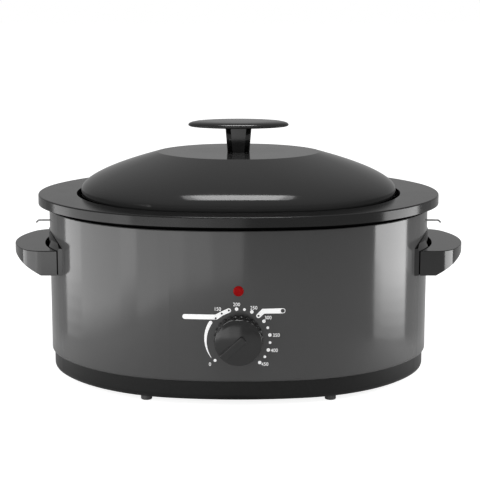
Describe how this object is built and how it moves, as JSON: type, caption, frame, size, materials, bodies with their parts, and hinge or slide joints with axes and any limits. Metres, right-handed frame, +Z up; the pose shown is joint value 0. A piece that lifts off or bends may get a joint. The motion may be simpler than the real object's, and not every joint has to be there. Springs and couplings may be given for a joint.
{
  "type": "electric roaster oven",
  "caption": "Oval countertop roaster with a lift-out rimmed pan, domed lift-off lid with a centre knob, side grips, and a heated base with a round temperature dial and signal lamp.",
  "frame": {"origin": "on the table under the middle of the oven, between the four feet", "axes": "+X to the right along the oven's length, -Y to the front with the dial, +Z up"},
  "size_m": [0.426, 0.2947, 0.2422],
  "materials": {
    "body_paint": "high gloss, black",
    "base_plastic": "satin, black",
    "foot_rubber": "matt",
    "zinc_steel": "zinc plated",
    "well_sheet": "aluminised, dull",
    "well_enamel": "satin, black heatproof enamel",
    "band_foil": "mica and foil heating band",
    "wool": "glass wool",
    "pan_enamel": "gloss, black",
    "lid_enamel": "high gloss, black",
    "grip_plastic": "gloss, black",
    "brass": "plain",
    "chrome": "bright",
    "lens_red": "clear red",
    "lamp_glass": "clear",
    "ceramic": "unglazed",
    "wire_cover": "glass-braided sleeving",
    "block_plastic": "phenolic, cream"
  },
  "bodies": {
    "root": {"outer_body": "body_paint", "base": "base_plastic", "feet": "foot_rubber", "support_posts": "zinc_steel", "base_screws": "zinc_steel", "well": "well_enamel", "heat_shield": "well_sheet", "heating_band": "band_foil", "band_strap": "zinc_steel", "insulation": "wool", "thermostat_plate": "zinc_steel", "thermostat": "ceramic", "thermostat_screws": "zinc_steel", "thermostat_blades": "brass", "sensing_strip": "brass", "indicator_lens": "lens_red", "neon_lamp": "lamp_glass", "lens_clip": "zinc_steel", "lamp_leads": "wire_cover", "cord_gland": "base_plastic", "gland_nut": "base_plastic", "terminal_block": "block_plastic", "terminal_screws": "brass", "thermal_fuse": "zinc_steel", "fuse_clip": "zinc_steel", "wire_supply": "wire_cover", "wire_switched": "wire_cover", "wire_return": "wire_cover", "wire_fuse": "wire_cover", "handle_pad_right": "grip_plastic", "handle_pad_left": "grip_plastic", "handle_right": "grip_plastic", "handle_left": "grip_plastic", "handle_screws": "zinc_steel", "wire_hooks": "chrome"},
    "pan": {"roasting_pan": "pan_enamel"},
    "lid": {"lid": "lid_enamel", "lid_handle": "grip_plastic", "handle_insert": "brass", "lid_washer": "zinc_steel", "lid_screw": "zinc_steel"},
    "dial": {"dial_knob": "grip_plastic", "thermostat_shaft": "brass", "shaft_spring": "zinc_steel"}
  },
  "joints": [
    {"name": "pan_lift", "type": "slide", "parent": "root", "child": "pan", "axis": [0, 0, 1], "range_m": [0, 0.13]},
    {"name": "lid_lift", "type": "slide", "parent": "pan", "child": "lid", "axis": [0, 0, 1], "range_m": [0, 0.15]},
    {"name": "knob_turn", "type": "hinge", "parent": "root", "child": "dial", "pos_m": [0, -0.13, 0.0625], "axis": [0, 1, 0], "range_deg": [0, 270]}
  ]
}
